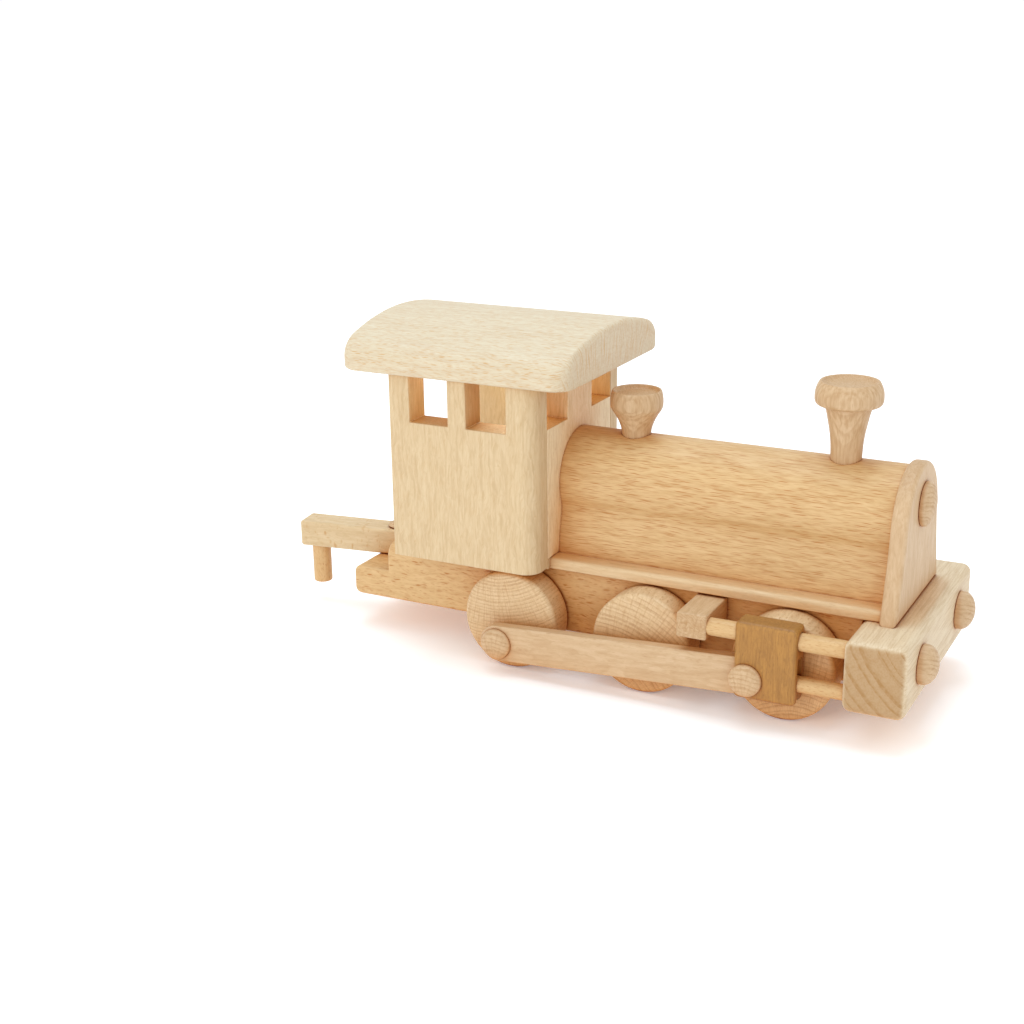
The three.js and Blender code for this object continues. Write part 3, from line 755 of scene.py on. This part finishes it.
def make_boiler():
    low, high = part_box("boiler")
    piece = prism("boiler_block", boiler_outline(), "x", low.x, high.x)
    for node in ("chimney", "steam_dome"):
        foot_low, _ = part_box(node)
        centre = middle(node)
        drill(piece, TENON_BORE, (centre.x, centre.y, foot_low.z), "z", THROUGH)
        drill(piece, FOOT_SEAT, (centre.x, centre.y, high.z - FOOT_SEAT_DEPTH), "z", THROUGH)
    for end in ("rear", "front"):
        drill_for(piece, f"boiler_dowel_{end}", "z")
    drill(piece, TENON_BORE, (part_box("lamp")[0].x, 0, middle("lamp").z), "x", THROUGH)
    outward = Vector((0, 1, -1))
    pith = pith_from("boiler", X, outward, 70, 8)
    dress(piece, "boiler", "engine",
          wood("boiler_wood", "warm", X, outward, pith, spacing=9, ring=0.3, fleck=0.9, fibre=1.1,
               tone=0.35, wave=1.1, cell=(17, 14, 0.62), density=1.2))


def make_plate():
    """Round above, its sides spreading in a flare from the round to the foot."""
    low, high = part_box("front_plate")
    shoulder = high.z - PLATE_RADIUS
    foot, end = (high.y, low.z), (PLATE_RADIUS, shoulder)
    pull = (PLATE_RADIUS + PLATE_FLARE[0], shoulder - PLATE_FLARE[1])
    steps = 12
    flare = []
    for k in range(steps):
        t = k / steps
        flare.append(tuple(a * (1 - t) ** 2 + b * 2 * t * (1 - t) + c * t ** 2
                           for a, b, c in zip(foot, pull, end)))
    outline = flare + arc((0, shoulder), PLATE_RADIUS, 0, 180, 64)
    outline += [(-y, z) for y, z in reversed(flare)]
    piece = prism("smokebox_plate", outline, "x", low.x, high.x, PLATE_ROUND)
    drill(piece, TENON_BORE, (low.x - DRILL_LEAD, 0, middle("lamp").z), "x", LAMP_DRILL)
    pith = pith_from("front_plate", Z, X, 90, 12)
    dress(piece, "front_plate", "engine",
          wood("plate_wood", "turned", Z, X, pith, ring=0.2, fleck=0.3, density=0.6, edge=0.35))


def make_beam():
    low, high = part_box("buffer_beam")
    piece = timber("beam_timber", low, high, BEAM_ROUND, 6)
    back = low.x - DRILL_LEAD
    for side, _ in SIDES:
        guide = middle(f"guide_rod_{side}")
        piston = middle(f"piston_rod_{side}")
        buffer = middle(f"buffer_{side}")
        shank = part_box(f"buffer_{side}")[0].x
        drill(piece, ROD_BORE, (back, guide.y, guide.z), "x", GUIDE_DRILL)
        drill(piece, PISTON_BORE, (back, piston.y, piston.z), "x", PISTON_DRILL)
        drill_for(piece, f"beam_dowel_{side}", "x")
        drill(piece, TENON_BORE, (shank, buffer.y, buffer.z), "x", BUFFER_DRILL)
    across = Vector((1, 0, 1))
    pith = pith_from("buffer_beam", Y, across, 95, 10)
    dress(piece, "buffer_beam", "engine",
          wood("beam_wood", "bleached", Y, across, pith, spacing=6, ring=0.06, fleck=0.35,
               wave=0.25, cell=(4, 14, 0.6), end_ring=0.75, end_ray=0.2, end_dark=0.68, ray_gap=1.8))


# ---------- cab and roof ----------

CAB_CORNER = 10 * MM
SILL = 146 * MM
POST_HALF = 16.5 * MM
# Window edges measured forward from the cab's back, as parts of its length.
SIDE_WINDOWS = ((0.143, 0.413), (0.540, 0.815))

ROOF_EDGE = 14 * MM
ROOF_CORNER = 11 * MM
# The long sides are rounded over far more than the two ends, and the underside less than the top.
ROOF_END_ROUND = 2.6 * MM
ROOF_SIDE_ROUND = 8.5 * MM
ROOF_UNDER_SHARE = 0.35


def make_cab_side(side, sign):
    node = f"cab_side_{side}"
    low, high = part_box(node)
    length = high.x - low.x
    outer, inner = (low.y, high.y) if sign < 0 else (high.y, low.y)
    corner = (high.x - CAB_CORNER, outer - sign * CAB_CORNER)
    turn = arc(corner, CAB_CORNER, 90 * sign, 0, 14)
    outline = [(low.x, inner), (low.x, outer)] + turn + [(high.x, inner)]
    piece = prism(f"cab_wall_{side}", outline, "z", low.z, high.z)
    for start, end in SIDE_WINDOWS:
        saw_out(piece, (low.x + start * length, low.y - RUN_OUT, SILL),
                (low.x + end * length, high.y + RUN_OUT, high.z + RUN_OUT))
    pith = pith_from(node, Z, Y * sign, -95, 30)
    dress(piece, node, "engine",
          wood(f"cab_{side}_wood", "pale", Z, Y * sign, pith, spacing=3.4, ring=0.2, fleck=0.3,
               fibre=1, wave=3, cell=(11, 14, 0.55), density=0.9, lean=0.15 * sign), 0.5 * MM)


def make_cab_front():
    low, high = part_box("cab_front")
    outline = [(low.y, low.z), (high.y, low.z), (high.y, SILL), (POST_HALF, SILL), (POST_HALF, high.z),
               (-POST_HALF, high.z), (-POST_HALF, SILL), (low.y, SILL)]
    piece = prism("cab_bulkhead", outline, "x", low.x, high.x)
    pith = pith_from("cab_front", Z, X, -80, 20)
    dress(piece, "cab_front", "engine",
          # Painted light: the cab front takes a lighter copy of the cab sides' tone.
          wood("cab_front_wood", "lit_cream", Z, X, pith, spacing=3, ring=0.15, fleck=0.25, fibre=0.8,
               wave=3), 0.4 * MM)


def make_cab_floor():
    low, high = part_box("cab_floor")
    piece = timber("cab_floor_board", low, high, 0.8 * MM, 3)
    pith = pith_from("cab_floor", X, Z, 60, 10)
    dress(piece, "cab_floor", "engine",
          wood("cab_floor_wood", "pale", X, Z, pith, ring=0.3, fleck=0.4))


def make_roof():
    """Flat below and crowned above, with rounded corners and softly rounded rims."""
    low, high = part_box("roof")
    half = high.y
    rise = (high.z - low.z) - ROOF_EDGE
    bow = (half ** 2 + rise ** 2) / (2 * rise)
    corner = ROOF_CORNER
    steps = 40

    def crown(y):
        return high.z - bow + math.sqrt(bow ** 2 - y ** 2)

    front = [(high.x, -(half - corner) + 2 * (half - corner) * k / steps) for k in range(1, steps)]
    outline = arc((high.x - corner, -half + corner), corner, -90, 0, 12) + front
    outline += arc((high.x - corner, half - corner), corner, 0, 90, 12)
    mid = (low.x + high.x) / 2
    outline += [(2 * mid - x, y) for x, y in reversed(outline)]
    inward = [Vector(((mid - x) * 2 * ROOF_END_ROUND / (high.x - low.x), -y * ROOF_SIDE_ROUND / half))
              for x, y in outline]
    quarter = [math.pi / 2 * k / 8 for k in range(9)]
    bm = bmesh.new()
    rings = []
    for angle in quarter:
        rings.append([bm.verts.new((*(Vector(p) + i * ROOF_UNDER_SHARE * (1 - math.sin(angle))),
                                    low.z + i.length * ROOF_UNDER_SHARE * (1 - math.cos(angle))))
                      for p, i in zip(outline, inward)])
    for angle in reversed(quarter):
        ring = [Vector(p) + i * (1 - math.sin(angle)) for p, i in zip(outline, inward)]
        rings.append([bm.verts.new((*p, crown(p.y) - i.length * (1 - math.cos(angle))))
                      for p, i in zip(ring, inward)])
    count = len(outline)
    for lower, upper in zip(rings, rings[1:]):
        for i in range(count):
            j = (i + 1) % count
            bm.faces.new((lower[i], lower[j], upper[j], upper[i]))
    for ring in (rings[0], rings[-1]):
        for i in range(count // 2 - 1):
            bm.faces.new((ring[i], ring[i + 1], ring[count - 2 - i], ring[count - 1 - i]))
    piece = to_object("roof_board", bm)
    pith = pith_from("roof", X, Z, -150, 22)
    dress(piece, "roof", "engine",
          wood("roof_wood", "light", X, Z, pith, spacing=3.2, ring=0.15, fleck=0.9, fibre=0.8, wave=0.9,
               cell=(9, 16, 0.7), density=1.05, end_ring=0.2, end_ray=0.6, end_dark=0.15, ray_gap=0.85))


# ---------- turned posts, buttons and bars ----------

# Profiles as (radius, height) in mm, from where the post meets the boiler's crown: the hidden
# tenon with a softened end, then each post's foot in its seat, its sweep and its dished top.
TENON_LENGTH = 14
POST_TENON = [(0, -TENON_LENGTH), (5.6, -TENON_LENGTH), (6, 0.4 - TENON_LENGTH), (6, -3)]
CHIMNEY_SWEEP = [(8.7, 0), (8.75, 3.5), (9, 8.3), (9.5, 13), (10.35, 18), (11.8, 25), (12.6, 28),
                 (13.4, 30)]
CHIMNEY_TOP = [(13.5, 30.1), (15.5, 30.3), (17.5, 31), (18.5, 32.4), (18.8, 34.6), (18.6, 38),
               (17.7, 41), (16.6, 43.2), (16.1, 43.75), (15.5, 43.8), (14.8, 43.5), (14, 42.6),
               (12.8, 41.9), (10, 41.5), (0, 41.3)]
DOME_SWEEP = [(8.6, 0), (9, 3), (10.3, 7), (12.3, 11), (14.2, 13.9), (15.2, 15.9), (15.5, 18),
              (15.5, 20.5), (15.2, 23), (14.7, 25.2)]
DOME_TOP = [(14.6, 25.4), (14.3, 25.9), (13.8, 26), (13.2, 25.6), (12.5, 24.4), (11.4, 23.6),
            (8, 23.2), (0, 23.1)]
SHANK = 6 * MM
PIN_SHANK = 5 * MM
BUTTON_RADIAL = {"x": Vector((0, 0.5, 1)), "y": Vector((0.35, 0, 1)), "z": Y}


def make_post(node, name, foot_radius, sweep, top):
    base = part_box(node)[0].z + TENON_LENGTH * MM
    profile = POST_TENON + [(foot_radius, -3)] + smooth_line(sweep) + smooth_line(top)
    piece = turned(name, [(r * MM, z * MM) for r, z in profile], (middle(node).x, 0, base), "z")
    pith = pith_from(node, Z, Y, 19, 2)
    dress(piece, node, "engine",
          wood(f"{node}_wood", "turned", Z, Y, pith, spacing=1.8, ring=0.4, fleck=0.35, fibre=1.3,
               cell=(9, 8, 0.5), wave=0.25, end_ring=0.4, end_dark=0.3))


def make_button(node, name, body, axis, head_height, shank_radius):
    """A pin with a domed head at its far end along the axis."""
    start, length, _, radius = round_extent(node, axis)
    profile = domed_profile(shank_radius, length - head_height, radius, head_height)
    piece = turned(name, profile, start, axis)
    grain = ALONG[axis[-1]]
    radial = BUTTON_RADIAL[axis[-1]]
    pith = pith_from(node, grain, radial, -16, 5)
    dress(piece, node, body,
          wood(f"{node}_wood", "turned", grain, radial, pith, spacing=2.6, ring=0.3, fleck=0.3,
               wave=0.5, cell=(4, 20, 1.4), end_ring=0.75, end_ray=0.25, end_dark=0.1))


def make_bar(node, name, body, axis, soft=0.8 * MM):
    start, length, _, radius = round_extent(node, axis)
    piece = turned(name, bar_profile(radius, length, soft), start, axis, DRILL_STEPS)
    grain = ALONG[axis]
    radial = Y if axis == "z" else Z
    pith = pith_from(node, grain, radial, 34, 9)
    dress(piece, node, body,
          wood(f"{node}_wood", "warm", grain, radial, pith, ring=0.2, fleck=0.65, tone=1.0,
               cell=(4.5, 6, 0.9)))


# ---------- wheels and running gear ----------

WHEEL_ROUND = 3 * MM
WHEEL_SOCKET = 13.3 * MM
WHEEL_STEPS = 128
# Each wheelset's grain: degrees from the right-hand wheel's radial direction, the pith's place in
# mm, and the rings' spacing in mm. The left-hand wheel is turned a little further.
WHEEL_GRAIN = ((-84, (-70, 6), 2.1), (52, (-55, 11), 2.8), (-66, (62, 16), 2.5))
WHEEL_GRAIN_TURN = 28
CROSSHEAD_ROUND = 2.8 * MM
ROD_SLOT_HALF = 3.9 * MM
ROD_SLOT_TOP = 43 * MM
ROD_HALF_WIDTH = 11 * MM
ROD_ROUND = 0.9 * MM
SWING_BORE = 5 * MM + RUNNING_GAP
DRAWBAR_HALF_WIDTH = 9.5 * MM
DRAWBAR_PAST_PEG = 10.5 * MM
DRAWBAR_END_ROUND = 2.2 * MM
DRAWBAR_ROUND = 1.5 * MM
DRAWBAR_PIN_BORE = 4 * MM + RUNNING_GAP
PEG_SOCKET = 9.3 * MM


def wheel_profile(radius, width, round_over, socket_radius, socket_depth):
    """From the outer face's middle round the tread to the inner face and its blind axle socket."""
    profile = [(0, width)]
    profile += [(radius - round_over + x, width - round_over + y)
                for x, y in reversed(arc((0, 0), round_over, 0, 90, 8))]
    profile += [(radius - round_over + x, round_over + y)
                for x, y in reversed(arc((0, 0), round_over, -90, 0, 8))]
    return profile + [(socket_radius, 0), (socket_radius, socket_depth), (0, socket_depth)]


def make_wheelset(name, angle, pith_place, spacing):
    make_bar(f"axle_{name}", f"axle_dowel_{name}", f"{name}_wheelset", "y")
    for side, sign in SIDES:
        node = f"wheel_{name}_{side}"
        low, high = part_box(node)
        inner = high.y if sign < 0 else low.y
        centre = middle(node)
        profile = wheel_profile((high.z - low.z) / 2, high.y - low.y, WHEEL_ROUND, TENON_BORE, WHEEL_SOCKET)
        piece = turned(f"wheel_disc_{name}_{side}", profile, (centre.x, inner, centre.z),
                       "-y" if sign < 0 else "y", WHEEL_STEPS)
        turn = math.radians(angle + (WHEEL_GRAIN_TURN if side == "left" else 0))
        radial = Vector((math.cos(turn), 0, math.sin(turn)))
        pith = pith_from(node, Y, radial, *pith_place)
        dress(piece, node, f"{name}_wheelset",
              wood(f"{node}_wood", "fresh", Y, radial, pith, spacing=spacing, fleck=0.7, wave=0.2,
                   cell=(5, 30, 1.3), density=1, end_ring=0.75, end_ray=0.33, end_dark=0.05,
                   ray_gap=0.85, edge=0.45))


def make_crosshead(side, sign):
    node = f"crosshead_{side}"
    low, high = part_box(node)
    piece = timber(f"crosshead_block_{side}", low, high, CROSSHEAD_ROUND)
    rod = middle(f"main_rod_{side}").y
    saw_out(piece, (low.x - RUN_OUT, rod - ROD_SLOT_HALF, low.z - RUN_OUT),
            (high.x + RUN_OUT, rod + ROD_SLOT_HALF, ROD_SLOT_TOP))
    drill_for(piece, f"guide_rod_{side}", "x", RUNNING_GAP)
    drill_for(piece, f"piston_rod_{side}", "x")
    pin = middle(f"crosshead_pin_{side}")
    drill(piece, ROD_BORE, (pin.x, low.y - RUN_OUT, pin.z), "y", RUN_OUT + THROUGH)
    pith = pith_from(node, Z, Y * sign, 60, 8)
    dress(piece, node, f"{side}_slide",
          wood(f"{node}_wood", "brown", Z, Y * sign, pith, spacing=2.6, fleck=0.5, fibre=1,
               cell=(5, 8, 1), density=0.7, edge=0.4))


def make_main_rod(side, sign):
    node = f"main_rod_{side}"
    low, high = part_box(node)
    crank = middle(f"crank_pin_{side}")
    pin = middle(f"crosshead_pin_{side}")
    run = Vector((pin.x - crank.x, pin.z - crank.z))
    outline = arc((run.length, 0), ROD_HALF_WIDTH, -90, 90, 32) + arc((0, 0), ROD_HALF_WIDTH, 90, 270, 32)
    angle = math.atan2(run.y, run.x)
    turn = Matrix.Rotation(angle, 2)
    outline = [tuple(turn @ Vector(p) + Vector((crank.x, crank.z))) for p in outline]
    piece = prism(f"rod_bar_{side}", outline, "y", low.y, high.y, ROD_ROUND)
    drill(piece, ROD_BORE, (crank.x, low.y - RUN_OUT, crank.z), "y", THROUGH)
    drill(piece, SWING_BORE, (pin.x, low.y - RUN_OUT, pin.z), "y", THROUGH)
    grain = Vector((math.cos(angle), 0, math.sin(angle)))
    pith = pith_from(node, grain, Y * sign, 80, 14)
    dress(piece, node, f"{side}_rod",
          wood(f"{node}_wood", "turned", grain, Y * sign, pith, spacing=5, ring=0.25, fleck=0.4,
               tone=0.75, density=0.6))


def make_bracket(side):
    node = f"guide_bracket_{side}"
    low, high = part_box(node)
    piece = timber(f"bracket_block_{side}", low, high, 1.2 * MM, 3)
    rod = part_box(f"guide_rod_{side}")
    centre = middle(f"guide_rod_{side}")
    drill(piece, ROD_BORE, (rod[0].x, centre.y, centre.z), "x", THROUGH)
    radial = Vector((0.3, 0, 1))
    pith = pith_from(node, Y, radial, 90, 0)
    dress(piece, node, "engine",
          wood(f"{node}_wood", "turned", Y, radial, pith, spacing=2, fleck=0.4, fibre=0.9,
               tone=1.0, cell=(3, 30, 1.2), end_ring=0.8, end_ray=0.3, end_dark=0.25))


def make_drawbar():
    low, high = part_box("drawbar")
    pivot = middle("drawbar_pin")
    peg = middle("coupling_peg")
    run = Vector((peg.x - pivot.x, peg.y - pivot.y))
    corner = run.length + DRAWBAR_PAST_PEG - DRAWBAR_END_ROUND
    offset = DRAWBAR_HALF_WIDTH - DRAWBAR_END_ROUND
    outline = arc((corner, -offset), DRAWBAR_END_ROUND, -90, 0, 5)
    outline += arc((corner, offset), DRAWBAR_END_ROUND, 0, 90, 5)
    outline += arc((0, 0), DRAWBAR_HALF_WIDTH, 90, 270, 32)
    turn = Matrix.Rotation(math.atan2(run.y, run.x), 2)
    outline = [tuple(turn @ Vector(p) + Vector((pivot.x, pivot.y))) for p in outline]
    piece = prism("drawbar_bar", outline, "z", low.z, high.z, DRAWBAR_ROUND)
    drill(piece, DRAWBAR_PIN_BORE, (pivot.x, pivot.y, low.z - RUN_OUT), "z", RUN_OUT + THROUGH)
    drill(piece, TENON_BORE, (peg.x, peg.y, low.z - RUN_OUT), "z", RUN_OUT + PEG_SOCKET)
    grain = Vector((run.x, run.y, 0))
    side = Z.cross(grain)
    pith = pith_from("drawbar", grain, side, 60, 12)
    dress(piece, "drawbar", "coupling",
          wood("drawbar_wood", "pale", grain, side, pith, fleck=0.7, cell=(5, 7, 9), density=0.35,
               tone=1.0, wave=3, plain_sides=False))


make_chassis()
make_board()
make_boiler()
make_plate()
make_beam()
make_cab_front()
make_cab_floor()
make_roof()
make_post("chimney", "chimney_post", 8.6, CHIMNEY_SWEEP, CHIMNEY_TOP)
make_post("steam_dome", "dome_post", 8.5, DOME_SWEEP, DOME_TOP)
make_drawbar()
make_button("lamp", "lamp_button", "engine", "x", 6.5 * MM, SHANK)
make_button("drawbar_pin", "drawbar_peg", "engine", "z", 3 * MM, 4 * MM)
make_bar("coupling_peg", "coupling_dowel", "coupling", "z", 1 * MM)
for end in ("rear", "front"):
    make_bar(f"boiler_dowel_{end}", f"boiler_peg_{end}", "engine", "z")
for side, sign in SIDES:
    head_axis = "-y" if sign < 0 else "y"
    make_cab_side(side, sign)
    make_button(f"buffer_{side}", f"buffer_button_{side}", "engine", "x", 9.5 * MM, SHANK)
    make_bracket(side)
    make_bar(f"guide_rod_{side}", f"guide_bar_{side}", "engine", "x")
    make_bar(f"beam_dowel_{side}", f"beam_peg_{side}", "engine", "x")
    make_crosshead(side, sign)
    make_bar(f"piston_rod_{side}", f"piston_bar_{side}", f"{side}_slide", "x", 1.2 * MM)
    make_button(f"crosshead_pin_{side}", f"crosshead_button_{side}", f"{side}_slide", head_axis,
                5 * MM, PIN_SHANK)
    make_main_rod(side, sign)
    make_button(f"crank_pin_{side}", f"crank_button_{side}", f"{side}_rod", head_axis, 5 * MM, PIN_SHANK)
for name, grain in zip(AXLES, WHEEL_GRAIN):
    make_wheelset(name, *grain)
